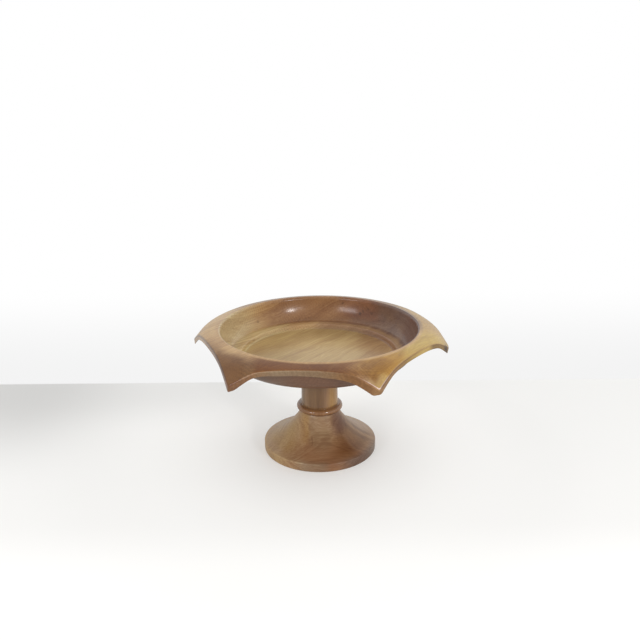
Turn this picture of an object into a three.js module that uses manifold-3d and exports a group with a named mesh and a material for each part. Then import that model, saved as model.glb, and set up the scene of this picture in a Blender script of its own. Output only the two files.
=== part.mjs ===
// Hexagonal winged pedestal bowl, turned in wood.
// A six-sided blank is turned into a shallow bowl with a rim that rolls over and droops, so the
// six flat sides of the blank cut the rim into arches between drooping tips. The bowl stands on a
// spindle with a bead at its lower end, and the spindle on a flared round foot. The three pieces
// are glued with round tenons.
// Millimetres, +Z up, origin at the middle of the foot's underside, a flat side facing -Y.

import * as THREE from 'three';
import { mergeVertices } from 'three/addons/utils/BufferGeometryUtils.js';
import Module from 'manifold-3d';

// Foot
const foot_radius = 60;
const foot_height = 44;
const foot_band_height = 8.8;
const foot_band_chamfer = 0.8;
const foot_neck_radius = 19.7;
const foot_neck_slope = 66;          // degrees from level, where the flare leaves the neck
const foot_edge_slope = 15;          // degrees from level, where the flare meets the band
const foot_flare_pull_top = 12;      // how far each end's direction is held
const foot_flare_pull_edge = 21;
const foot_recess_depth = 2.4;
const foot_ring_width = 9;           // flat ring that the bowl stands on
const foot_recess_cove = 3;
const foot_colour = 0x8a6543;

// Spindle
const stem_length = 48.4;            // between the foot's neck and the bowl's seat
const stem_radius = 19.6;
const stem_waist = 0.35;             // how much slimmer the middle is
const stem_flare = 1.6;              // how much wider the top is, under the bowl
const stem_flare_height = 7;
const bead_height = 6.9;
const bead_radius = 24.4;
const bead_root_radius = 20.6;
const stem_colour = 0x8f6d4a;

// Joints
const tenon_radius = 11.8;
const foot_tenon_length = 19;
const bowl_tenon_length = 6.6;
const tenon_chamfer = 1;
const glue_gap = 0.3;                // around each tenon
const end_gap = 0.6;                 // past each tenon's end

// Bowl, heights from its seat on the spindle
const across_flats = 234.2;
const tip_radius = 133.2;            // where the six tips are blunted
const tip_undercut = 1.2;            // how far each tip's end leans in at its lower edge
const crown_radius = 103.2;          // outside of the rounded lip, where the rim is highest
const crown_height = 45.2;
const crown_slope = 8;               // degrees from level, just outside the lip
const bend_radius = 125;             // where the rim is no longer rounded
const bend_drop = 9;
const rim_pull_crown = 10;           // how far each end's direction is held
const rim_pull_bend = 7;
const rim_depth = 4.9;               // measured upright, as the flat sides show it
const wing_droop = 51;               // degrees from level, top of the wings
const wing_under_droop = 57;         // their underside, so that they thicken towards the tips
const rim_root = 0.4;                // share of the rounding inside of which the wall carries it
const floor_thickness = 12.3;        // over the seat, at the middle
const floor_radius = 77.5;
const floor_rise = 1.3;              // the floor is dished by this much
const step_height = 4.6;
const step_run = 4;
const ledge_width = 8.5;
const ledge_rise = 0.7;
const cove_pull = 6.6;               // how far the ledge's direction is held into the wall
const wall_slope = 85;               // degrees from level, where the inner wall is steepest
const wall_pull_down = 9;            // how far that direction is held, down and up
const wall_pull_up = 2;
const lip_inset = 2.4;               // from the rim's slope to the steep inner wall
const lip_drop = 3.4;
const lip_pull = 1.2;                // how far the rim's slope is carried on, inwards
const wall_thickness = 4.7;          // under the cove
const belly_slope = 26;              // degrees from level, under the cove
const belly_pull_wall = 19;          // how far each end's direction is held
const belly_pull_seat = 28;
const shoulder_pull_belly = 10;
const shoulder_pull_rim = 9;
const seat_radius = 24;
const seat_slope = 2;                // degrees from level, beside the seat
const bowl_colour = 0x916c47;

// Surface
const satin_roughness = 0.42;

// Facets
const bowl_segments = 96;
const foot_segments = 72;
const stem_segments = 48;
const bead_facets = 8;
const under_facets = 5;              // underside of the rim's rounding

const radians = THREE.MathUtils.degToRad;
const wasm = await Module();
wasm.setup();

// Revolves a section, given as radius and height, about the Z axis.
function turned(section, segments) {
  const geometry = new THREE.LatheGeometry(section, segments);
  return geometry.rotateX(Math.PI / 2);
}

function solid(geometry) {
  const bare = geometry.clone();
  bare.deleteAttribute('normal');
  bare.deleteAttribute('uv');
  const merged = mergeVertices(bare, 1e-4);
  return new wasm.Manifold(new wasm.Mesh({
    numProp: 3,
    vertProperties: new Float32Array(merged.attributes.position.array),
    triVerts: new Uint32Array(merged.index.array),
  }));
}

function geometryOf(body) {
  const mesh = body.getMesh();
  const geometry = new THREE.BufferGeometry();
  geometry.setAttribute('position', new THREE.BufferAttribute(mesh.vertProperties, 3));
  geometry.setIndex(new THREE.BufferAttribute(mesh.triVerts, 1));
  geometry.computeVertexNormals();
  return geometry;
}

function at(radius, height) {
  return new THREE.Vector2(radius, height);
}

// A step of a given length in a direction given in degrees from level.
function step(point, degrees, length) {
  return at(point.x + length * Math.cos(radians(degrees)), point.y + length * Math.sin(radians(degrees)));
}

function curve(start, startPull, endPull, end, pieces) {
  return new THREE.CubicBezierCurve(start, startPull, endPull, end).getPoints(pieces);
}

// A point on a wing, straight out and down from where the rim's rounding ends.
function wingPoint(bend, droop, radius) {
  return at(radius, bend.y - (radius - bend.x) * Math.tan(radians(droop)));
}

// Runs of points joined into one outline, without the points that two runs share.
function outline(...runs) {
  const points = [];
  for (const point of runs.flat()) {
    const last = points[points.length - 1];
    if (!last || last.distanceTo(point) > 0.01) points.push(point);
  }
  return points;
}

// The foot: a standing ring, an upright band, and a flare up to the neck with the spindle's socket.
function footSection() {
  const ring = foot_radius - foot_ring_width;
  const bandTop = at(foot_radius, foot_band_height);
  const neck = at(foot_neck_radius, foot_height);
  const socketRadius = tenon_radius + glue_gap;
  const socketFloor = foot_height - foot_tenon_length - end_gap;
  const recessEdge = new THREE.QuadraticBezierCurve(
    at(ring - foot_recess_cove, foot_recess_depth),
    at(ring, foot_recess_depth),
    at(ring, 0),
  ).getPoints(3);
  const flare = curve(
    bandTop,
    step(bandTop, -foot_edge_slope, -foot_flare_pull_edge),
    step(neck, -foot_neck_slope, foot_flare_pull_top),
    neck,
    11,
  );
  return outline(
    [at(0, foot_recess_depth)],
    recessEdge,
    [at(foot_radius - foot_band_chamfer, 0), at(foot_radius, foot_band_chamfer)],
    flare,
    [at(socketRadius, foot_height), at(socketRadius, socketFloor), at(0, socketFloor)],
  );
}

// The spindle, heights from the foot's neck: tenon, bead, waisted shank, flare, tenon.
function stemSection() {
  const beadMiddle = bead_height / 2;
  const bulge = bead_radius - bead_root_radius;
  const bead = [];
  for (let i = 0; i <= bead_facets; i += 1) {
    const angle = Math.PI * i / bead_facets - Math.PI / 2;
    bead.push(at(bead_root_radius + bulge * Math.cos(angle), beadMiddle + beadMiddle * Math.sin(angle)));
  }
  const shankTop = stem_length - stem_flare_height;
  const shankMiddle = (bead_height + shankTop) / 2;
  const shank = new THREE.QuadraticBezierCurve(
    at(stem_radius, bead_height),
    at(stem_radius - 2 * stem_waist, shankMiddle),
    at(stem_radius, shankTop),
  ).getPoints(4);
  const flare = new THREE.QuadraticBezierCurve(
    at(stem_radius, shankTop),
    at(stem_radius, stem_length - stem_flare_height / 3),
    at(stem_radius + stem_flare, stem_length),
  ).getPoints(4);
  const lowEnd = -foot_tenon_length;
  const highEnd = stem_length + bowl_tenon_length;
  const endRadius = tenon_radius - tenon_chamfer;
  return outline(
    [at(0, lowEnd), at(endRadius, lowEnd), at(tenon_radius, lowEnd + tenon_chamfer), at(tenon_radius, 0)],
    bead,
    shank,
    flare,
    [at(tenon_radius, stem_length), at(tenon_radius, highEnd - tenon_chamfer), at(endRadius, highEnd)],
    [at(0, highEnd)],
  );
}

// The bowl, heights from its seat: socket, underside, drooping rim, rolled lip, wall, ledge, floor.
function bowlSection() {
  const socketRadius = tenon_radius + glue_gap;
  const socketTop = bowl_tenon_length + end_gap;

  const crown = at(crown_radius, crown_height);
  const bend = at(bend_radius, crown_height - bend_drop);
  const rounding = new THREE.CubicBezierCurve(
    crown,
    step(crown, -crown_slope, rim_pull_crown),
    step(bend, -wing_droop, -rim_pull_bend),
    bend,
  );
  const tipTop = wingPoint(bend, wing_droop, tip_radius);

  const roundingUnder = [];
  for (let i = 0; i <= under_facets; i += 1) {
    const share = rim_root + (1 - rim_root) * i / under_facets;
    roundingUnder.push(rounding.getPoint(share).sub(at(0, rim_depth)));
  }
  const tipBottom = wingPoint(roundingUnder[under_facets], wing_under_droop, tip_radius - tip_undercut);
  const root = roundingUnder[0];
  const rootPull = rounding.getTangent(rim_root).multiplyScalar(shoulder_pull_rim);

  const floorEdge = at(floor_radius, floor_thickness + floor_rise);
  const floor = new THREE.QuadraticBezierCurve(
    floorEdge,
    at(floor_radius / 2, floor_thickness),
    at(0, floor_thickness),
  ).getPoints(3);
  const ledgeInner = at(floor_radius + step_run, floorEdge.y + step_height);
  const ledgeOuter = at(ledgeInner.x + ledge_width, ledgeInner.y + ledge_rise);
  const stepFace = curve(
    ledgeInner,
    at(floorEdge.x + step_run / 2, ledgeInner.y),
    at(floorEdge.x + step_run / 2, floorEdge.y),
    floorEdge,
    3,
  );
  const lipFoot = at(crown_radius - lip_inset, crown_height - lip_drop);
  const lip = curve(
    crown,
    step(crown, -crown_slope, -lip_pull),
    step(lipFoot, wall_slope, wall_pull_up),
    lipFoot,
    4,
  );
  const wall = curve(
    lipFoot,
    step(lipFoot, wall_slope, -wall_pull_down),
    at(ledgeOuter.x + cove_pull, ledgeOuter.y + cove_pull * ledge_rise / ledge_width),
    ledgeOuter,
    7,
  );

  const seatEdge = at(seat_radius, 0);
  const bellyEnd = step(ledgeOuter, belly_slope - 90, wall_thickness);
  const belly = curve(
    seatEdge,
    step(seatEdge, seat_slope, belly_pull_seat),
    step(bellyEnd, belly_slope, -belly_pull_wall),
    bellyEnd,
    6,
  );
  const shoulder = curve(
    bellyEnd,
    step(bellyEnd, belly_slope, shoulder_pull_belly),
    root.clone().sub(rootPull),
    root,
    6,
  );

  return outline(
    [at(0, socketTop), at(socketRadius, socketTop), at(socketRadius, 0)],
    belly,
    shoulder,
    roundingUnder,
    [tipBottom, tipTop],
    rounding.getPoints(7).reverse(),
    lip,
    wall,
    stepFace,
    floor,
  );
}

// The blank's six upright sides.
function blank() {
  const corner = across_flats / 2 / Math.cos(Math.PI / 6);
  const hexagon = new THREE.Shape();
  for (let i = 0; i < 6; i += 1) {
    const angle = i * Math.PI / 3;
    const x = corner * Math.cos(angle);
    const y = corner * Math.sin(angle);
    if (i === 0) hexagon.moveTo(x, y);
    else hexagon.lineTo(x, y);
  }
  hexagon.closePath();
  const depth = crown_height * 2;
  const prism = new THREE.ExtrudeGeometry(hexagon, { depth, bevelEnabled: false });
  return prism.translate(0, 0, -crown_height / 2);
}

function wood(color) {
  return new THREE.MeshStandardMaterial({ color, roughness: satin_roughness, metalness: 0 });
}

function piece(name, geometry, material, height) {
  const mesh = new THREE.Mesh(geometry, material);
  mesh.name = name;
  mesh.position.z = height;
  return mesh;
}

const bowlBody = solid(turned(bowlSection(), bowl_segments)).intersect(solid(blank()));

const pedestalBowl = new THREE.Group();
pedestalBowl.name = 'pedestal_bowl';
pedestalBowl.add(
  piece('foot', turned(footSection(), foot_segments), wood(foot_colour), 0),
  piece('stem', turned(stemSection(), stem_segments), wood(stem_colour), foot_height),
  piece('bowl', geometryOf(bowlBody), wood(bowl_colour), foot_height + stem_length),
);

export default pedestalBowl;
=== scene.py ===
"""Looks of a turned wooden pedestal bowl: smooth turned pieces, wood, floor, lamps and camera."""
import math

import bpy
from mathutils import Matrix, Vector


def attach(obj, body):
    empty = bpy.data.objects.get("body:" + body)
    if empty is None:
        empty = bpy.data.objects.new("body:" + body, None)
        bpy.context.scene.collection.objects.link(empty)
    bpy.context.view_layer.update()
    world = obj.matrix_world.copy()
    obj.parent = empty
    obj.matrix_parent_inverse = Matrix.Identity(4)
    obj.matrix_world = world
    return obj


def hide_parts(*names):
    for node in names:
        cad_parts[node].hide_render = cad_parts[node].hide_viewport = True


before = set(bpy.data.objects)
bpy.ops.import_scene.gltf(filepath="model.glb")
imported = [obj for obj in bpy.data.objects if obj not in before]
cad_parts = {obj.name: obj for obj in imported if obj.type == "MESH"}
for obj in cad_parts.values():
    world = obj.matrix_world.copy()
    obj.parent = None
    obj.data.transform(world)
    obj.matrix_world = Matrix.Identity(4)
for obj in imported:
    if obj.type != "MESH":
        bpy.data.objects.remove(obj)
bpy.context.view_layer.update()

MM = 0.001
CAMERA_TURN = math.radians(7.32)     # the camera stands this far round from the flat front side


def turned_to_part(x, y, z=0.0):
    """A point seen from the camera's side (x right, y away), as a point of the part."""
    c, s = math.cos(CAMERA_TURN), math.sin(CAMERA_TURN)
    return Vector((c * x - s * y, s * x + c * y, z))


# Sizes in millimetres, the same as the solids', and slopes in degrees

FOOT = dict(radius=60.0, height=44.0, band=8.8, chamfer=0.8, neck=19.7, neck_slope=66.0,
            edge_slope=15.0, pull_top=12.0, pull_edge=21.0, recess=2.4, ring=9.0, cove=3.0)
STEM = dict(length=48.4, radius=19.6, waist=0.35, flare=1.6, flare_height=7.0,
            bead=6.9, bead_radius=24.4, bead_root=20.6)
TENON = dict(radius=11.8, into_foot=19.0, into_bowl=6.6, chamfer=1.0, gap=0.3, end_gap=0.6)
SOCKET = TENON["radius"] + TENON["gap"]
BOWL_SEAT = FOOT["height"] + STEM["length"]
FLATS = 234.2 / 2
TIP = 133.2
TIP_UNDERCUT = 1.2
CROWN = Vector((103.2, 45.2))
BEND = Vector((125.0, 36.2))
RIM = dict(slope=8.0, pull_crown=10.0, pull_bend=7.0, depth=4.9, root=0.4, droop=51.0, under_droop=57.0)
FLOOR = dict(thickness=12.3, radius=77.5, rise=1.3, step=4.6, run=4.0, ledge=8.5, ledge_rise=0.7)
LIP = dict(inset=2.4, drop=3.4, slope=85.0, pull_up=2.0, pull_down=9.0, pull_top=1.2, cove=6.6)
BELLY = dict(wall=4.7, slope=26.0, pull_wall=19.0, pull_seat=28.0, shoulder_belly=10.0,
             shoulder_rim=9.0, seat=24.0, seat_slope=2.0)

# Rounding of the edges, and a fine groove above the bead as depths and heights

BAND_ARRIS = 0.9
NECK_ARRIS = 0.3
NECK_CHAMFER = 0.4
TOP_ARRIS = 1.1
LOW_ARRIS = 0.5
GROOVE = ((0.25, 0.05), (0.3, 0.2))
GROOVE_END = 0.35

# Wear at the front. A turn is in degrees round from the middle of the front side.

FRONT_TIP = 30                                                  # turn of the front right tip
HOLLOW = dict(depth=1.3, middle=-20.5, half=9.0)                # in the front side, on the left
NARROW = dict(front=0.9, middle=27.0, half=16.0, flank=0.7)     # at the front right tip
ASKEW = dict(cut=3.9, facing=-13.7, reach=10.0)                 # end of the front left tip
LEAN = dict(left=0.7, more=2.0, start=-10.0, width=36.0, reach=34.0, soft=0.5)   # top of the front side

# Pieces round the turned parts and round the rim's outline

FOOT_FACETS = 240
STEM_FACETS = 160
BEAD_PIECES = 28
ROUNDING_PIECES = 40


def at(r, z):
    return Vector((r, z))


def step(point, degrees, length):
    """The point that lies a length away, in a direction given from level."""
    a = math.radians(degrees)
    return point + at(math.cos(a), math.sin(a)) * length


def curve(a, b, c, d, pieces):
    points = []
    for i in range(pieces + 1):
        t = i / pieces
        s = 1 - t
        points.append(a * s ** 3 + b * (3 * s * s * t) + c * (3 * s * t * t) + d * t ** 3)
    return points


def bend(a, b, c, pieces):
    return curve(a, a.lerp(b, 2 / 3), c.lerp(b, 2 / 3), c, pieces)


def straight(a, b, pieces):
    return [a.lerp(b, i / pieces) for i in range(pieces + 1)]


def joined(*runs):
    """One outline from several, each point kept once where two of them meet."""
    points = []
    for run in runs:
        for p in run:
            if not points or (points[-1] - p).length > 1e-3:
                points.append(p)
    return points


def softened(points, radius, pieces):
    """The open outline with each inner corner sharper than 20 degrees rounded off."""
    out = [points[0]]
    for before, here, after in zip(points, points[1:], points[2:]):
        u, v = here - before, after - here
        if u.angle(v) < math.radians(20):
            out.append(here)
            continue
        r = min(radius, u.length * 0.45, v.length * 0.45)
        out += bend(here - u.normalized() * r, here, here + v.normalized() * r, pieces)
    return out + [points[-1]]


def revolve(name, profiles, angles, height=0.0):
    """A closed body from one outline per angle, each from the axis to the axis."""
    low, high = profiles[0][0], profiles[0][-1]
    points = [(0, 0, (low.y + height) * MM), (0, 0, (high.y + height) * MM)]
    for outline, a in zip(profiles, angles):
        c, s = math.cos(a), math.sin(a)
        points += [(p.x * c * MM, p.x * s * MM, (p.y + height) * MM) for p in outline[1:-1]]
    ring = len(profiles[0]) - 2
    faces = []
    for i in range(len(angles)):
        j = (i + 1) % len(angles)
        a, b = 2 + i * ring, 2 + j * ring
        faces.append((0, b, a))
        faces.append((1, a + ring - 1, b + ring - 1))
        faces += [(a + k, b + k, b + k + 1, a + k + 1) for k in range(ring - 1)]
    mesh = bpy.data.meshes.new(name)
    mesh.from_pydata(points, [], faces)
    mesh.validate()
    mesh.update()
    mesh.shade_smooth()
    piece = bpy.data.objects.new(name, mesh)
    bpy.context.scene.collection.objects.link(piece)
    return piece


def even(count):
    return [2 * math.pi * i / count for i in range(count)]


def foot_outline():
    f = FOOT
    ring = f["radius"] - f["ring"]
    band_low = at(f["radius"], 0)
    band_top = at(f["radius"], f["band"])
    neck = at(f["neck"], f["height"])
    run = at(0, 3)
    flare = curve(band_top, step(band_top, -f["edge_slope"], -f["pull_edge"]),
                  step(neck, -f["neck_slope"], f["pull_top"]), neck, 64)
    edge = softened([band_low - at(3, 0), band_low, band_low + run], f["chamfer"], 5)
    arris = softened([band_top - run, band_top, flare[3]], BAND_ARRIS, 6)
    socket_floor = f["height"] - TENON["into_foot"] - TENON["end_gap"]
    mouth = [at(f["neck"] - NECK_CHAMFER, f["height"]), at(SOCKET, f["height"]), at(SOCKET, socket_floor)]
    return joined(
        straight(at(0, f["recess"]), at(ring - f["cove"], f["recess"]), 8),
        bend(at(ring - f["cove"], f["recess"]), at(ring, f["recess"]), at(ring, 0), 6),
        edge, arris, flare[4:], softened(mouth, NECK_ARRIS, 2),
        [at(0, socket_floor)],
    )


def stem_outline():
    s = STEM
    middle = s["bead"] / 2
    bulge = s["bead_radius"] - s["bead_root"]
    bead = []
    for i in range(BEAD_PIECES + 1):
        a = math.pi * i / BEAD_PIECES - math.pi / 2
        bead.append(at(s["bead_root"] + bulge * math.cos(a), middle + middle * math.sin(a)))
    groove = [at(s["radius"] - depth, s["bead"] + above) for depth, above in GROOVE]
    top = s["length"] - s["flare_height"]
    waist = at(s["radius"] - 2 * s["waist"], (s["bead"] + top) / 2)
    shank = bend(at(s["radius"], s["bead"] + GROOVE_END), waist, at(s["radius"], top), 28)
    flare = bend(at(s["radius"], top), at(s["radius"], s["length"] - s["flare_height"] / 3),
                 at(s["radius"] + s["flare"], s["length"]), 12)
    r, chamfer, low = TENON["radius"], TENON["chamfer"], -TENON["into_foot"]
    high = s["length"] + TENON["into_bowl"]
    return joined(
        [at(0, low), at(r - chamfer, low), at(r, low + chamfer), at(r, 0)],
        bead, groove, shank, flare,
        [at(r, s["length"]), at(r, high - chamfer), at(r - chamfer, high), at(0, high)],
    )


ROUNDING = curve(CROWN, step(CROWN, -RIM["slope"], RIM["pull_crown"]),
                 step(BEND, -RIM["droop"], -RIM["pull_bend"]), BEND, ROUNDING_PIECES)
ROOT = int(ROUNDING_PIECES * RIM["root"])
UNDER = [p - at(0, RIM["depth"]) for p in ROUNDING[ROOT:]]


def on_rim(points, droop, r):
    """The point at r on the rim's rounding, or straight down the wing beyond it."""
    for p, q in zip(points, points[1:]):
        if r <= q.x:
            return p.lerp(q, (r - p.x) / (q.x - p.x))
    end = points[-1]
    return at(r, end.y - (r - end.x) * math.tan(math.radians(droop)))


def soft_min(a, b, k=1.0):
    """The smaller of two values, rounded off where they differ by less than k."""
    h = max(k - abs(a - b), 0) / k
    return min(a, b) - h * h * k * 0.25


def front_turn(a):
    """Degrees round from the middle of the front side."""
    return (math.degrees(a) + 270) % 360 - 180


def rim_reach(a, limit):
    """How far out the hexagon with blunted corners reaches, less the wear of its front side and tips."""
    side = math.pi / 3
    off = (a % side) - side / 2
    turn = front_turn(a)
    worn = 0.0
    if -FRONT_TIP < turn < 0:
        worn = HOLLOW["depth"] * max(0, 1 - ((turn - HOLLOW["middle"]) / HOLLOW["half"]) ** 2)
    elif 0 < turn < FRONT_TIP:
        worn = NARROW["front"] * max(0, 1 - abs(turn - NARROW["middle"]) / NARROW["half"]) ** 0.5
    elif FRONT_TIP <= turn < 2 * FRONT_TIP:
        worn = NARROW["flank"] * (2 * FRONT_TIP - turn) / FRONT_TIP
    if abs(turn + FRONT_TIP) < ASKEW["reach"]:
        limit = (limit - ASKEW["cut"]) / math.cos(math.radians(turn - ASKEW["facing"]))
    return soft_min((FLATS - worn) / math.cos(off), limit)


def top_reach(a):
    """How far out the upper arris stands. The front side is out of square and leans in at the top."""
    turn = front_turn(a)
    reach = rim_reach(a, TIP)
    if abs(turn) > LEAN["reach"]:
        return reach
    rise = min(max((turn - LEAN["start"]) / LEAN["width"], 0), 1)
    lean = LEAN["left"] + LEAN["more"] * rise * rise * (3 - 2 * rise)
    return soft_min(reach, (FLATS - lean) / math.cos(math.radians(turn)), LEAN["soft"])


def side_corners(a):
    """The upper and the lower arris of the flat side at an angle."""
    top = on_rim(ROUNDING, RIM["droop"], top_reach(a))
    low = on_rim(UNDER, RIM["under_droop"], rim_reach(a, TIP - TIP_UNDERCUT))
    return top, low


def bowl_outline(a):
    top_corner, low_corner = side_corners(a)

    def run(points, droop, end, pieces):
        start = points[0].x
        return [on_rim(points, droop, start + (end - start) * i / pieces) for i in range(pieces + 1)]

    upper = run(ROUNDING, RIM["droop"], top_corner.x - TOP_ARRIS, 24)
    lower = run(UNDER, RIM["under_droop"], low_corner.x - LOW_ARRIS, 18)
    fall = (low_corner - top_corner).length
    side_top = top_corner.lerp(low_corner, TOP_ARRIS / fall)
    side_low = low_corner.lerp(top_corner, LOW_ARRIS / fall)
    end = joined(bend(upper[-1], top_corner, side_top, 6), straight(side_top, side_low, 5),
                 bend(side_low, low_corner, lower[-1], 4))

    g, l, b = FLOOR, LIP, BELLY
    floor_edge = at(g["radius"], g["thickness"] + g["rise"])
    floor = bend(floor_edge, at(g["radius"] / 2, g["thickness"]), at(0, g["thickness"]), 16)
    inner = at(g["radius"] + g["run"], floor_edge.y + g["step"])
    outer = at(inner.x + g["ledge"], inner.y + g["ledge_rise"])
    half = floor_edge.x + g["run"] / 2
    face = curve(inner, at(half, inner.y), at(half, floor_edge.y), floor_edge, 12)
    lip_foot = at(CROWN.x - l["inset"], CROWN.y - l["drop"])
    lip = curve(CROWN, step(CROWN, -RIM["slope"], -l["pull_top"]),
                step(lip_foot, l["slope"], l["pull_up"]), lip_foot, 12)
    wall = curve(lip_foot, step(lip_foot, l["slope"], -l["pull_down"]),
                 at(outer.x + l["cove"], outer.y + l["cove"] * g["ledge_rise"] / g["ledge"]), outer, 22)
    seat = at(b["seat"], 0)
    belly_end = step(outer, b["slope"] - 90, b["wall"])
    belly = curve(seat, step(seat, b["seat_slope"], b["pull_seat"]),
                  step(belly_end, b["slope"], -b["pull_wall"]), belly_end, 20)
    lean = (ROUNDING[ROOT + 1] - ROUNDING[ROOT - 1]).normalized()
    shoulder = curve(belly_end, step(belly_end, b["slope"], b["shoulder_belly"]),
                     UNDER[0] - lean * b["shoulder_rim"], UNDER[0], 14)
    socket_top = TENON["into_bowl"] + TENON["end_gap"]
    return joined(
        [at(0, socket_top), at(SOCKET, socket_top), at(SOCKET, 0)], belly, shoulder, lower,
        end[::-1], upper[::-1], lip, wall, straight(outer, inner, 4), face, floor,
    )


def side_marks(outlines, angles):
    """Per point of the bowl: how near a flat side's upper arris is, and whether it is on the side."""
    near, off_side, above, below = 1.3, 0.6, 0.9, 0.2
    edge, side = [0.0, 0.0], [0.0, 0.0]
    for outline, a in zip(outlines, angles):
        top, low = side_corners(a)
        down = (low - top).normalized()
        for p in outline[1:-1]:
            d = p - top
            edge.append(math.exp(-(d.length / near) ** 2))
            off = abs(d.x * down.y - d.y * down.x)
            inside = -above < d.dot(down) < (low - top).length + below
            side.append(max(0.0, 1 - off / off_side) if inside else 0.0)
    return edge, side


def mark(piece, name, values):
    piece.data.attributes.new(name, "FLOAT", "POINT").data.foreach_set("value", values)


def rim_angles():
    """Angles round the bowl, closer together at the tips."""
    close, count, between = 0.3, 14, 50
    near = [i * close for i in range(-count, count + 1)]
    far = [near[-1] + (60 - 2 * near[-1]) * i / between for i in range(1, between)]
    out = []
    for tip in range(6):
        out += [math.radians(tip * 60.0 + d) for d in near + far]
    return sorted(a % (2 * math.pi) for a in out)


foot = revolve("foot_turned", [foot_outline()] * FOOT_FACETS, even(FOOT_FACETS))
stem = revolve("stem_turned", [stem_outline()] * STEM_FACETS, even(STEM_FACETS), FOOT["height"])
angles = rim_angles()
outlines = [bowl_outline(a) for a in angles]
bowl = revolve("bowl_turned", outlines, angles, BOWL_SEAT)
for mark_name, mark_values in zip(("edge", "side"), side_marks(outlines, angles)):
    mark(bowl, mark_name, mark_values)


# Wood

class Tree:
    """Short ways to make the shader nodes of one material or world."""

    def __init__(self, owner):
        owner.use_nodes = True
        self.owner = owner
        self.tree = owner.node_tree
        self.tree.nodes.clear()

    def node(self, kind, inputs=(), **settings):
        n = self.tree.nodes.new(kind)
        for key, value in settings.items():
            setattr(n, key, value)
        for key, value in dict(inputs).items():
            self.feed(n.inputs[key], value)
        return n

    def feed(self, socket, value):
        if isinstance(value, bpy.types.NodeSocket):
            self.tree.links.new(value, socket)
        else:
            socket.default_value = value

    def math(self, operation, a, b=0.0, clamp=False):
        n = self.node("ShaderNodeMath", {0: a, 1: b}, operation=operation, use_clamp=clamp)
        return n.outputs[0]

    def plus(self, *values):
        out = values[0]
        for value in values[1:]:
            out = self.math("ADD", out, value)
        return out

    def minus(self, a, b):
        return self.math("SUBTRACT", a, b)

    def times(self, *values):
        out = values[0]
        for value in values[1:]:
            out = self.math("MULTIPLY", out, value)
        return out

    def vector(self, operation, a, b=(0, 0, 0)):
        n = self.node("ShaderNodeVectorMath", {0: a, 1: b}, operation=operation)
        return n.outputs["Value" if operation in ("DOT_PRODUCT", "LENGTH", "DISTANCE") else "Vector"]

    def along(self, place, direction):
        """How far along a direction a place lies."""
        return self.vector("DOT_PRODUCT", place, tuple(direction))

    def noise(self, vector, scale=1.0, detail=2.0, roughness=0.5):
        return self.node("ShaderNodeTexNoise", {
            "Vector": vector, "Scale": scale, "Detail": detail, "Roughness": roughness}).outputs["Fac"]

    def line_noise(self, value, scale, detail, roughness):
        return self.node("ShaderNodeTexNoise", {
            "W": value, "Scale": scale, "Detail": detail, "Roughness": roughness},
            noise_dimensions="1D").outputs["Fac"]

    def spread(self, value, low, high, to_low=0.0, to_high=1.0):
        return self.node("ShaderNodeMapRange", {
            "Value": value, "From Min": low, "From Max": high, "To Min": to_low, "To Max": to_high},
            interpolation_type="SMOOTHSTEP").outputs["Result"]

    def mix(self, share, a, b, blend="MIX"):
        n = self.node("ShaderNodeMix", data_type="RGBA", blend_type=blend)
        for key, value in ((0, share), (6, a), (7, b)):
            self.feed(n.inputs[key], value)
        return n.outputs[2]

    def combine(self, x, y, z):
        return self.node("ShaderNodeCombineXYZ", {0: x, 1: y, 2: z}).outputs[0]


def rgb(r, g, b):
    """A colour as it is seen on a screen, 0 to 255, for a shader."""
    def linear(v):
        v /= 255
        return v / 12.92 if v <= 0.04045 else ((v + 0.055) / 1.055) ** 2.4
    return (linear(r), linear(g), linear(b), 1.0)


def measures(t, where):
    """Places on the part, in millimetres: as seen from the camera, from the axis, out to the flats.

    front is measured square to the front side. facing_up is 1 on a level top and -1 on a level
    underside. edge is 1 on the upper arris of the bowl's flat sides, and side is 1 on those sides.
    """
    hexagon = None
    for degrees in (30, 90, 150):
        a = math.radians(degrees)
        side = t.math("ABSOLUTE", t.along(where, (math.cos(a), math.sin(a), 0)))
        hexagon = side if hexagon is None else t.math("MAXIMUM", hexagon, side)
    return {
        "aside": t.along(where, turned_to_part(1, 0)),
        "away": t.along(where, turned_to_part(0, 1)),
        "height": t.along(where, (0, 0, 1)),
        "radius": t.vector("LENGTH", t.vector("MULTIPLY", where, (1, 1, 0))),
        "hexagon": hexagon,
        "front": t.along(where, (0, -1, 0)),
        "facing_up": t.along(t.node("ShaderNodeTexCoord").outputs["Normal"], (0, 0, 1)),
        "edge": t.node("ShaderNodeAttribute", attribute_name="edge").outputs["Fac"],
        "side": t.node("ShaderNodeAttribute", attribute_name="side").outputs["Fac"],
    }


def tinted(t, colour, zones, where, ragged):
    """The colour, multiplied by each zone's tint. A window wider than 5 has a ragged edge."""
    places = measures(t, where)
    for tint, windows in zones:
        mask = None
        for measure, low, high in windows:
            width = abs(high - low)
            soft = t.times(ragged, width if width > 5 else 0.0)
            edge = t.spread(t.plus(places[measure], soft), low, high)
            mask = edge if mask is None else t.times(mask, edge)
        colour = t.mix(mask, colour, t.mix(1.0, colour, (*tint, 1.0), "MULTIPLY"))
    return colour


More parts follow.
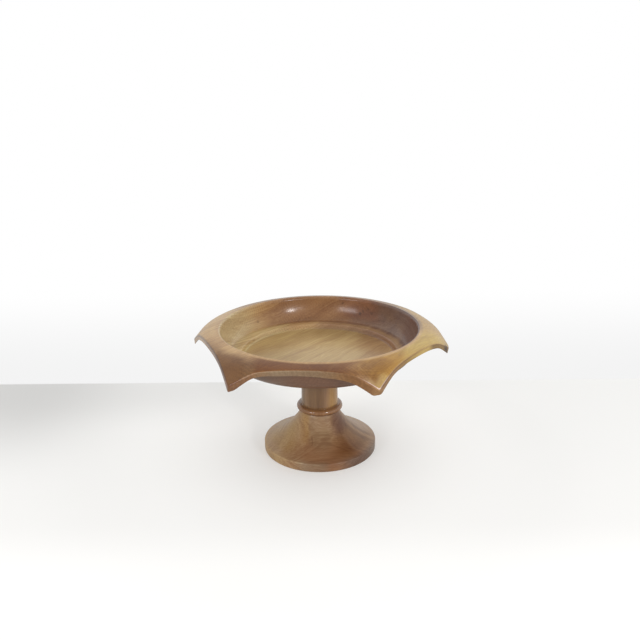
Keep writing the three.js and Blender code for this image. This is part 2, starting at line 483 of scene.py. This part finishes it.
def wood(name, along, up, pith, seed, dark, middle, light, zones, knots=(), ripple=0.0, lining=1.0,
         gloss=0.18, coat=0.5):
    """Waxed wood. along is the grain's direction, up the way from the tree's middle to the board.

    pith is where the tree's middle lies, across the grain and up. A knot is its place, its radius
    and how dark it is. lining is how strong the lines are, ripple how strong the curl is.
    """
    t = Tree(bpy.data.materials.new(name))
    where = t.vector("MULTIPLY", t.node("ShaderNodeTexCoord").outputs["Object"], (1000, 1000, 1000))
    along = Vector(along).normalized()
    up = Vector(up).normalized()
    gx = t.along(where, along)
    gy = t.along(where, up.cross(along))
    gz = t.along(where, up)
    grain = t.combine(gx, gy, gz)
    shift = (seed * 17.3, seed * 9.1, seed * 5.7)

    def noise(x, y, detail, scale=1, roughness=0.5):
        """Noise that varies by x along the grain and by y across it."""
        place = t.vector("ADD", t.vector("MULTIPLY", grain, (x, y, y)), shift)
        return t.noise(place, scale, detail, roughness)

    def around_zero(value):
        return t.minus(value, 0.5)

    # How far from the tree's middle, pushed out round each knot
    side = t.minus(gy, pith[0])
    rise = t.minus(gz, pith[1])
    ring = t.math("SQRT", t.plus(t.times(side, side), t.times(rise, rise)))
    wander = t.times(around_zero(noise(0.006, 0.016, 3)), 26)
    shake = t.times(around_zero(noise(0.03, 0.07, 2)), 4)
    ring = t.plus(ring, wander, shake)
    distances = [t.vector("DISTANCE", where, tuple(spot)) for spot, size, strength in knots]
    if knots:
        pushes = [t.times(t.spread(d, size * 4.5, size * 0.8), size * 1.5)
                  for d, (spot, size, strength) in zip(distances, knots)]
        ring = t.plus(ring, t.plus(*pushes))

    # Year lines, fibres and cloudy patches, from dark to light
    broad = t.line_noise(ring, 0.085, 2, 0.55)
    years = t.line_noise(ring, 0.42, 2, 0.6)
    fine = t.line_noise(ring, 1.7, 1, 0.5)
    fibre = noise(0.035, 0.85, 3, roughness=0.6)
    streaky = t.spread(noise(0.016, 0.09, 2), 0.36, 0.64, 0.15, 1.0)
    haze = noise(0.012, 0.022, 2)
    lines = t.plus(t.times(around_zero(years), 0.5), t.times(around_zero(fine), 0.3))
    tone = t.plus(
        t.times(lines, lining, streaky),
        t.times(around_zero(broad), 0.4),
        t.times(around_zero(fibre), 0.35 + 0.35 * lining),
        t.times(around_zero(haze), 0.5),
    )
    ramp = t.node("ShaderNodeValToRGB", {"Fac": t.math("ADD", tone, 0.5, clamp=True)})
    stops = ramp.color_ramp.elements
    stops[0].position, stops[0].color = 0.12, dark
    stops[1].position, stops[1].color = 0.88, light
    stops.new(0.5).color = middle
    ragged = around_zero(noise(0.02, 0.05, 3, roughness=0.6))
    colour = tinted(t, ramp.outputs["Color"], zones, where, ragged)

    # Pores, curl and knots
    pore = t.spread(noise(0.16, 1.5, 2, roughness=0.55), 0.64, 0.74)
    colour = t.mix(t.times(pore, 0.34), colour, t.mix(1.0, colour, rgb(150, 118, 96), "MULTIPLY"))
    if ripple:
        curl = t.math("SINE", t.plus(t.times(gx, 2.3), t.times(noise(0.05, 0.12, 2), 14)))
        where_curly = t.spread(noise(0.02, 0.03, 1, scale=1.3), 0.42, 0.62)
        bright = t.plus(t.times(curl, where_curly, ripple), 1.0)
        colour = t.mix(1.0, colour, t.combine(bright, bright, bright), "MULTIPLY")
    flecky = around_zero(noise(0.25, 0.6, 2))
    for d, (spot, size, strength) in zip(distances, knots):
        core = t.spread(t.plus(d, t.times(flecky, size * 2.2)), size * 1.1, size * 0.25)
        colour = t.mix(t.times(core, strength), colour, rgb(62, 44, 34))

    rough = t.plus(t.times(fibre, 0.10), t.times(haze, 0.14), 0.34, t.times(pore, 0.12))
    height = t.minus(t.plus(t.times(fibre, 0.5), t.times(years, 0.35)), t.times(pore, 0.6))
    bump = t.node("ShaderNodeBump", {"Strength": 0.22, "Distance": 0.00012, "Height": height})
    shader = t.node("ShaderNodeBsdfPrincipled", {
        "Base Color": colour, "Roughness": rough, "Normal": bump.outputs[0],
        "IOR": 1.5, "Specular IOR Level": 0.15, "Coat Weight": coat, "Coat Roughness": gloss,
    })
    t.node("ShaderNodeOutputMaterial", {"Surface": shader.outputs[0]})
    return t.owner


# A zone is a tint and its windows. A window is a measure, where the tint starts and where it is full.


def zone(tint, *windows):
    return tint, windows


UNDER_LIP = ("radius", 104, 102.5)
ON_WALL = (("radius", 85, 92), UNDER_LIP)
ON_LEDGE = (("radius", 76.5, 78.5), ("radius", 92, 88))
ON_FLOOR = (("radius", 80, 77), ("height", 113, 108))
OUTSIDE_LIP = ("radius", 103.6, 108)
ON_SIDE = ("side", 0.3, 0.7)
OFF_SIDE = ("side", 0.7, 0.3)
ON_ARRIS = ("edge", 0.2, 0.8)
NEAR_ARRIS = ("edge", 0.1, 0.6)
OFF_ARRIS = ("edge", 0.7, 0.3)
LEFT_END = (("aside", -80, -87), ("away", -104, -98))
UNDERSIDE = (("facing_up", -0.05, -0.3), ("side", 0.6, 0.2))
SHANK = ("height", 50.5, 52.5)
FLARE_FRONT = ("away", 0, -10)
ABOVE_BAND = ("height", 8, 12)
ON_BAND = ("height", 11, 8)

bowl_wood = wood(
    "bowl_wood", (math.cos(1.0), math.sin(1.0), 0.03), (0, 0, 1), (-45.0, -10.0), 1.0,
    rgb(146, 108, 70), rgb(180, 144, 97), rgb(206, 174, 122), ripple=0.08,
    knots=(
        (turned_to_part(-69, 68, 118.7), 2.0, 0.4),
        (turned_to_part(47.9, 85.9, 121.0), 2.4, 0.65),
        (turned_to_part(50.9, 85, 124.2), 2.0, 0.55),
        (turned_to_part(56.5, 82.3, 127.8), 1.8, 0.45),
        (turned_to_part(61.5, 79.2, 123.0), 2.6, 0.45),
        (turned_to_part(28, 96, 131), 1.8, 0.4),
        (turned_to_part(-23.8, 87.1, 111.3), 1.6, 0.3),
        (turned_to_part(128.0, -25.5, 119.4), 6.2, 0.95),
        (turned_to_part(-22.4, -65.1, 98.6), 2.8, 0.6),
    ),
    zones=(
        # inner wall: darker on the right, then its far end and its back
        zone((0.53, 0.50, 0.71), ("aside", 10, 75), *ON_WALL),
        zone((0.66, 0.68, 0.86), ("aside", 70, 98), *ON_WALL),
        zone((1.03, 0.89, 0.84), ("aside", 18, 45), ("aside", 75, 60), ("away", 40, 70),
             ("radius", 94, 98), UNDER_LIP),
        # inner wall: brown at the back, the back's middle, and painted shade on a band above the ledge
        zone((0.72, 0.65, 0.67), ("away", 30, 80), ("aside", -75, -40), *ON_WALL),
        zone((0.92, 0.87, 0.87), ("away", 30, 80), ("aside", -75, -40), ("aside", 60, 30), *ON_WALL),
        zone((0.80, 0.74, 0.64), ("radius", 98, 93), ("radius", 86, 90), ("away", 20, 50),
             ("aside", 40, 10)),
        # inner wall: pale on the left, greyer at the right of the back
        zone((1.11, 1.38, 1.70), ("aside", -60, -98), ("radius", 84, 94), ("radius", 104, 102)),
        zone((1.03, 1.13, 1.20), ("aside", 58, 75), ("away", 20, 42), ("radius", 88, 93), UNDER_LIP),
        # ledge: right and back, left, the step at the right
        zone((0.72, 0.69, 0.80), *ON_LEDGE, ("away", -40, 0), ("aside", -25, 15)),
        zone((1.14, 1.33, 1.42), *ON_LEDGE, ("aside", -20, -50)),
        zone((0.85, 0.80, 0.86), ("radius", 76.5, 78), ("radius", 83, 81), ("away", -40, 0),
             ("aside", 30, 60)),
        # floor: all, right, back, left
        zone((1.09, 1.22, 1.27), *ON_FLOOR),
        zone((0.75, 0.64, 0.60), *ON_FLOOR, ("aside", 30, 60)),
        zone((0.68, 0.64, 0.56), *ON_FLOOR, ("away", 30, 65), ("aside", -60, 0)),
        zone((0.82, 0.79, 0.68), *ON_FLOOR, ("aside", -10, -45)),
        # rim: front slope, darker partly in its own colour and partly as painted shade; left wing, right
        # wing and its far part
        zone((0.35, 0.20, 0.09), ("radius", 104.3, 107.5), ("away", -70, -98), ("aside", 70, 10),
             ("aside", -78, -50), OFF_SIDE),
        zone((0.37, 0.27, 0.19), ("radius", 105, 117), ("aside", -46, -74), ("away", -25, -85), OFF_SIDE),
        zone((0.78, 0.65, 0.27), ("radius", 105, 108), ("aside", 20, 55), ("away", -40, -80), OFF_ARRIS,
             OFF_SIDE, ("aside", 92, 68)),
        zone((1.0, 1.04, 0.76), ("radius", 105, 108), ("aside", 62, 88), ("away", -10, -40)),
        # front right tip: a painted highlight on its end, brown on its left, brown behind the painted
        # highlight
        zone((1.38, 1.80, 3.6), ("hexagon", 109, 113.5), ("aside", 30, 46), ("away", -108, -115), OFF_SIDE),
        zone((0.84, 0.75, 0.62), ("hexagon", 106, 111), ("aside", 12, 26), ("aside", 44, 36),
             ("away", -90, -105), OFF_SIDE),
        zone((0.86, 0.82, 0.76), ("radius", 106, 111), ("hexagon", 114, 110), ("aside", 34, 42),
             ("away", -88, -100), OFF_SIDE),
        # rim: far right, painted shade in a line at the right of the lip, back, left
        zone((0.98, 1.01, 0.80), OUTSIDE_LIP, ("aside", 60, 95), OFF_ARRIS),
        zone((0.64, 0.64, 0.72), ("radius", 101.5, 102.8), ("radius", 108, 105), ("aside", 70, 95),
             ("away", -35, -5)),
        zone((0.56, 0.46, 0.38), ("radius", 102.5, 104), ("away", 40, 80)),
        zone((1.12, 1.18, 1.14), OUTSIDE_LIP, ("aside", -60, -95), ("away", -40, -10), OFF_SIDE),
        # flat sides: left and front, right, near the right tip
        zone((0.80, 0.74, 0.74), ON_SIDE, ("away", -20, -60), ("aside", 50, 44)),
        zone((1.02, 1.04, 1.10), ON_SIDE, ("aside", 52, 56), ("away", -10, -25)),
        zone((0.47, 0.40, 0.34), ON_SIDE, ("aside", 106, 112), ("away", -10, -16)),
        # front side: middle, right, left; then the end of the front left tip
        zone((0.60, 0.70, 0.91), ON_SIDE, ("away", -60, -100), ("aside", 35, -5), ("aside", -62, -35)),
        zone((0.55, 0.47, 0.41), ON_SIDE, ("away", -60, -90), ("aside", 0, 35)),
        zone((0.53, 0.45, 0.45), ON_SIDE, ("away", -50, -80), ("aside", -35, -62)),
        zone((0.90, 1.02, 1.45), ON_SIDE, *LEFT_END),
        # arrises: left, front, front left tip, front right tip, right, behind the right tip
        zone((0.66, 0.72, 0.95), NEAR_ARRIS, *LEFT_END),
        # a painted highlight along the front side's upper arris
        zone((1.25, 1.32, 1.35), ON_ARRIS, ("away", -60, -95), ("aside", 20, -10), ("aside", -74, -68)),
        zone((0.85, 0.73, 0.66), NEAR_ARRIS, ("front", 108, 111), ("aside", -68, -74)),
        # a painted highlight along the front right tip's upper arris
        zone((1.5, 1.6, 1.9), ("edge", 0.1, 0.7), ("front", 112.3, 113.8), ("aside", 32, 44)),
        zone((0.78, 0.74, 0.72), ON_ARRIS, ("front", 112.3, 110.5), ("aside", 44, 50), ("away", -10, -30)),
        zone((0.42, 0.36, 0.36), ON_ARRIS, ("aside", 112, 124), ("away", -18, -14)),
        # underside, darker partly in its own colour and partly as painted shade; and its left
        zone((0.34, 0.27, 0.34), *UNDERSIDE),
        zone((1.0, 1.14, 1.22), *UNDERSIDE, ("aside", -10, -40)),
    ),
)
stem_wood = wood(
    "stem_wood", (0.02, 0.01, 1), (0.5, 0.86, 0), (0.0, -55.0), 2.0,
    rgb(120, 90, 64), rgb(156, 123, 88), rgb(188, 154, 110), lining=0.45, gloss=0.1, coat=1.0,
    zones=(
        # shank: left, middle, a dark stripe, right; painted shade towards the top, under the bowl
        zone((0.54, 0.47, 0.27), ("aside", -13, -17), SHANK),
        zone((0.55, 0.49, 0.39), ("aside", -17, -11), ("aside", 10, -2), SHANK),
        zone((0.77, 0.70, 0.65), ("aside", -6, 2), ("aside", 12, 7), SHANK),
        zone((1.07, 0.95, 0.52), ("aside", 6, 14), SHANK),
        zone((0.60, 0.58, 0.62), ("height", 58, 88)),
        # bead, and the dark joint under it
        zone((0.75, 0.60, 0.49), ("height", 51.5, 50.5)),
        zone((0.40, 0.32, 0.28), ("height", 46.4, 45.3)),
    ),
)
foot_wood = wood(
    "foot_wood", (math.cos(0.25), math.sin(0.25), 0.02), (0, 0, 1), (18.0, -40.0), 3.0,
    rgb(132, 98, 70), rgb(164, 130, 94), rgb(188, 158, 118), lining=1.35,
    zones=(
        # flare: right, a dark patch by the neck, a brown streak, the middle, and a painted sheen at its top
        zone((0.60, 0.48, 0.34), ("aside", 2, 26), ("away", 20, -20), ("height", 8, 14)),
        zone((0.63, 0.52, 0.55), ("aside", 9, 18), ("aside", 36, 22), ("away", 5, -10), ("height", 20, 30)),
        zone((0.98, 0.91, 0.66), ("aside", -24, -16), ("aside", -9, -14), FLARE_FRONT, ("height", 15, 28)),
        zone((0.78, 0.79, 0.80), ("aside", -16, -6), ("aside", 16, 6), FLARE_FRONT, ("height", 12, 20)),
        zone((1.14, 1.14, 1.20), ("aside", -12, -4), ("aside", 14, 8), FLARE_FRONT, ("height", 24, 34)),
        # flare: lower front, left, far right
        zone((0.70, 0.56, 0.52), ("aside", -45, -10), ("away", -10, -40), ("height", 30, 12)),
        zone((0.95, 0.92, 0.64), ("aside", -14, -34), ("height", 8, 14), ("away", -50, -20)),
        zone((0.90, 0.86, 0.70), ("aside", 18, 40), ("away", 16, -4), ("height", 9, 13)),
        # flare: dark and pale lines of the figure on the right, and painted shade in a line under the joint
        zone((0.74, 0.68, 0.62), ("away", -4, -1), ("away", 5, 2), ("aside", 24, 38), ABOVE_BAND),
        zone((1.12, 1.14, 1.12), ("away", -10, -7), ("away", -3, -5), ("aside", 22, 34), ABOVE_BAND),
        zone((0.80, 0.74, 0.68), ("away", -17, -13), ("away", -7, -10), ("aside", 18, 30), ABOVE_BAND),
        zone((0.62, 0.50, 0.44), ("height", 42.2, 43.4)),
        # band: middle, left, right; a painted highlight along its arris
        zone((0.95, 1.18, 1.40), ("aside", -30, -15), ("aside", 12, 2), ON_BAND),
        zone((1.08, 1.12, 1.00), ("aside", -20, -50), ON_BAND),
        zone((0.60, 0.72, 1.02), ("aside", 8, 36), ("away", 20, -20), ON_BAND),
        zone((1.12, 1.20, 1.24), ("radius", 58.6, 59.4), ("height", 7.6, 8.3), ("aside", 20, -5),
             ("aside", -55, -30)),
    ),
)

for piece, node, slot, material in (
    (bowl, "bowl", "bowl_wood", bowl_wood),
    (stem, "stem", "stem_wood", stem_wood),
    (foot, "foot", "foot_wood", foot_wood),
):
    piece.data.materials.append(material)
    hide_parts(node)
    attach(piece, "root")


# Floor, background, lamps, camera

WHITE = (1, 1, 1, 1)
TABLE_END = 0.17                     # the table's back edge lies this far behind the bowl
FLOOR_REACH = 6.0
# The floor's glow as drawn: an even base, painted light near the bowl and at the front, and painted shade
# at the left back and behind the bowl.
LIFT = dict(base=0.155, near=0.12, front=0.07, left_back=0.26, behind=0.10)   # glow of the floor as drawn
ROOM = dict(base=0.54, sides=0.30, right=0.12, back=0.32, top=0.46, least=0.15)


def by_eye(t, camera_view, light):
    """One shader for what the camera sees and another for the light that falls on the bowl."""
    camera_ray = t.node("ShaderNodeLightPath").outputs["Is Camera Ray"]
    return t.node("ShaderNodeMixShader", {0: camera_ray, 1: light.outputs[0], 2: camera_view.outputs[0]})


def floor_material():
    """A pale floor. Beyond the table's back edge, what the camera sees is white."""
    t = Tree(bpy.data.materials.new("floor_paint"))
    where = t.node("ShaderNodeTexCoord").outputs["Object"]
    aside = t.along(where, turned_to_part(1, 0))
    away = t.along(where, turned_to_part(0, 1))
    colour = t.mix(t.noise(where, 2.5, 3), rgb(218, 218, 216), rgb(226, 226, 224))
    paint = t.node("ShaderNodeBsdfPrincipled", {
        "Base Color": colour, "Roughness": 0.65, "Specular IOR Level": 0.2})

    # Painted light near the bowl and at the front; painted shade at the left back and behind the bowl
    near = t.times(t.spread(t.vector("LENGTH", where), 0.26, 0.10), LIFT["near"])
    front = t.times(t.spread(away, -0.14, -0.22), LIFT["front"])
    left_back = t.times(t.spread(aside, -0.19, -0.36), t.spread(away, -0.10, 0.13), LIFT["left_back"])
    behind = t.times(t.spread(aside, 0.0, -0.10), t.spread(away, 0.02, 0.14),
                     t.spread(aside, -0.36, -0.19), LIFT["behind"])
    strength = t.plus(t.minus(t.plus(near, front), left_back), LIFT["base"])
    strength = t.minus(strength, behind)
    lift = t.node("ShaderNodeEmission", {"Color": (1, 1, 0.98, 1), "Strength": strength})
    table = t.node("ShaderNodeAddShader", {0: paint.outputs[0], 1: lift.outputs[0]})

    # Painted shade on the backdrop: darker towards the table's back edge
    glow = t.spread(away, TABLE_END, TABLE_END + 0.45, 0.90, 1.0)
    backdrop = t.node("ShaderNodeEmission", {"Color": WHITE, "Strength": glow})
    beyond = t.spread(away, TABLE_END - 0.002, TABLE_END + 0.002)
    drawn = t.node("ShaderNodeMixShader", {0: beyond, 1: table.outputs[0], 2: backdrop.outputs[0]})
    shown = by_eye(t, drawn, paint)
    t.node("ShaderNodeOutputMaterial", {"Surface": shown.outputs[0]})
    return t.owner


def stage_floor():
    mesh = bpy.data.meshes.new("floor")
    r = FLOOR_REACH
    mesh.from_pydata([(-r, -r, 0), (r, -r, 0), (r, r, 0), (-r, r, 0)], [], [(0, 1, 2, 3)])
    floor = bpy.data.objects.new("floor", mesh)
    bpy.context.scene.collection.objects.link(floor)
    mesh.materials.append(floor_material())


def studio_world():
    """White to the camera. As light, a room with pale walls at the back and sides, dimmer in front."""
    world = bpy.data.worlds.new("studio")
    bpy.context.scene.world = world
    t = Tree(world)
    way = t.node("ShaderNodeTexCoord").outputs["Generated"]
    aside = t.along(way, turned_to_part(1, 0))
    away = t.along(way, turned_to_part(0, 1))
    above = t.along(way, (0, 0, 1))
    level = t.plus(
        t.times(t.times(aside, aside), ROOM["sides"]),
        t.times(aside, ROOM["right"]),
        t.times(away, ROOM["back"]),
        t.times(above, ROOM["top"]),
        ROOM["base"],
    )
    level = t.math("MAXIMUM", level, ROOM["least"])
    fill = t.node("ShaderNodeBackground", {"Color": WHITE, "Strength": level})
    seen = t.node("ShaderNodeBackground", {"Color": WHITE, "Strength": 1.0})
    shown = by_eye(t, seen, fill)
    t.node("ShaderNodeOutputWorld", {"Surface": shown.outputs[0]})


def lamp(name, azimuth, elevation, distance, width, height, power, colour):
    """A soft box that faces the bowl. The azimuth is from the camera, to the right."""
    a, e = math.radians(azimuth), math.radians(elevation)
    spot = turned_to_part(math.sin(a) * math.cos(e), -math.cos(a) * math.cos(e), math.sin(e)) * distance
    bowl_middle = Vector((0, 0, 0.1))
    data = bpy.data.lights.new(name, "AREA")
    data.shape = "RECTANGLE"
    data.size = width
    data.size_y = height
    data.energy = power
    data.color = colour
    light = bpy.data.objects.new(name, data)
    light.location = spot + bowl_middle
    light.rotation_euler = (-spot).to_track_quat("-Z", "Y").to_euler()
    bpy.context.scene.collection.objects.link(light)


def add_camera(place, pitch, roll, lens):
    """A camera at a place given in millimetres from its own side, looking down by the pitch."""
    pitch, roll = math.radians(pitch), math.radians(roll)
    turn = Matrix.Rotation(CAMERA_TURN, 3, "Z")
    level_right = turn @ Vector((1, 0, 0))
    level_up = turn @ Vector((0, math.sin(pitch), math.cos(pitch)))
    ahead = turn @ Vector((0, math.cos(pitch), -math.sin(pitch)))
    right = level_right * math.cos(roll) + level_up * math.sin(roll)
    above = level_up * math.cos(roll) - level_right * math.sin(roll)
    data = bpy.data.cameras.new("camera")
    data.sensor_fit = "HORIZONTAL"
    data.sensor_width = 36.0
    data.lens = lens
    data.clip_start = 0.01
    data.clip_end = 50.0
    camera = bpy.data.objects.new("camera", data)
    matrix = Matrix((right, above, -ahead)).transposed().to_4x4()
    matrix.translation = turned_to_part(*place) * MM
    camera.matrix_world = matrix
    bpy.context.scene.collection.objects.link(camera)
    bpy.context.scene.camera = camera


stage_floor()
studio_world()
lamp("lamp_right", 37, 14.4, 1.3, 0.15, 0.08, 3.4, (1.0, 0.96, 0.96))
lamp("lamp_right_soft", 28, 11.5, 1.3, 0.30, 0.08, 0.8, (1.0, 0.93, 0.92))
lamp("lamp_left", -38, 14.6, 1.3, 0.52, 0.24, 3.8, (1.0, 0.95, 0.96))
add_camera((1.2, -690.5, 374.8), 18.57, -0.53, 39.79)
bpy.context.scene.view_settings.view_transform = "Standard"
